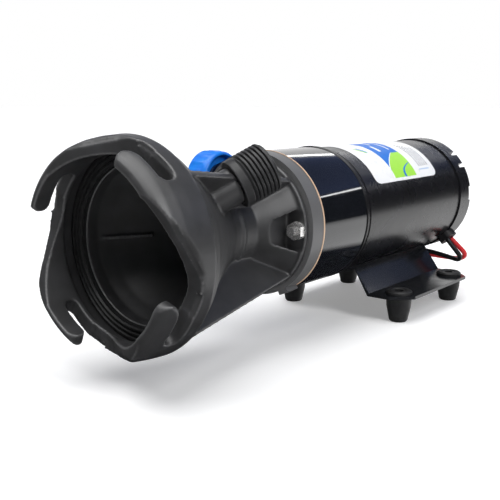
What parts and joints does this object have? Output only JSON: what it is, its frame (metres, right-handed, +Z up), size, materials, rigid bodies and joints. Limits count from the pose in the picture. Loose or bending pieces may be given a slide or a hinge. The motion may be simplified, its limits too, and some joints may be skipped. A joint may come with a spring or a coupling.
{
  "type": "portable waste pump",
  "caption": "Portable electric waste pump with bayonet inlet, male hose thread, blue swivel hose nut, round motor, bent steel foot bracket and two bare leads",
  "frame": {"origin": "on the ground, at the centre of the four foot holes", "axes": "+X from the inlet mouth to the rear of the motor, +Z up; the blue swivel nut is on the +Y side"},
  "size_m": [0.327, 0.117, 0.126],
  "materials": {
    "housing_black": "matte black glass-filled plastic with a fine spark grain",
    "seal_rubber": "dull black rubber",
    "port_black": "matte black moulded thread",
    "stainless": "bright stainless steel",
    "cutter_steel": "ground stainless steel",
    "gasket_tan": "thin copper-coloured gasket edge",
    "impeller_rubber": "moulded neoprene",
    "bronze": "bronze and brass",
    "head_gloss": "mirror-gloss black moulding",
    "nut_blue": "bright blue moulded nut",
    "can_black": "satin black paint",
    "label_white": "printed white label film",
    "magnet_grey": "sintered ferrite",
    "shaft_steel": "ground steel shaft",
    "core_steel": "stacked steel laminations",
    "copper": "enamelled copper wire",
    "brush_carbon": "carbon",
    "board_brown": "phenolic board",
    "cap_black": "satin black die-cast cover",
    "bracket_black": "semi-gloss black powder coat",
    "foot_rubber": "dull black rubber",
    "lead_red": "red PVC insulation",
    "lead_black": "black PVC insulation"
  },
  "bodies": {
    "pump": {"inlet_housing": "housing_black", "bayonet_seal": "seal_rubber", "flush_port": "port_black", "hex_bolts": "stainless", "spring_washers": "stainless", "cutter_ring": "housing_black", "cutter_plate": "cutter_steel", "ring_gasket": "gasket_tan", "pump_head": "head_gloss", "shaft_seal": "seal_rubber", "outlet_tailpiece": "head_gloss", "nut_washer": "seal_rubber", "motor_can": "can_black", "motor_label": "label_white", "magnets": "magnet_grey", "front_bearing": "bronze", "rear_bearing": "bronze", "brush_plate": "board_brown", "brush_boxes": "bronze", "brushes": "brush_carbon", "brush_springs": "stainless", "end_cap": "cap_black", "tie_bolts": "stainless", "lead_grommet": "seal_rubber", "base_bracket": "bracket_black", "bracket_screws": "stainless", "rubber_feet": "foot_rubber", "lead_red": "lead_red", "lead_black": "lead_black", "lead_tips": "copper"},
    "rotor": {"armature_shaft": "shaft_steel", "armature_core": "core_steel", "armature_winding": "copper", "commutator": "copper", "slinger": "seal_rubber", "flex_impeller": "impeller_rubber", "impeller_hub": "bronze", "cutter_blade": "cutter_steel", "cutter_nut": "stainless"},
    "swivel": {"swivel_nut": "nut_blue"}
  },
  "joints": [
    {"name": "rotor_spin", "type": "hinge", "parent": "pump", "child": "rotor", "pos_m": [-0.0202, 0, 0.0715], "axis": [1, 0, 0], "continuous": true},
    {"name": "swivel_spin", "type": "hinge", "parent": "pump", "child": "swivel", "pos_m": [-0.1072, 0.056, 0.0919], "axis": [0, 1, 0], "continuous": true}
  ]
}
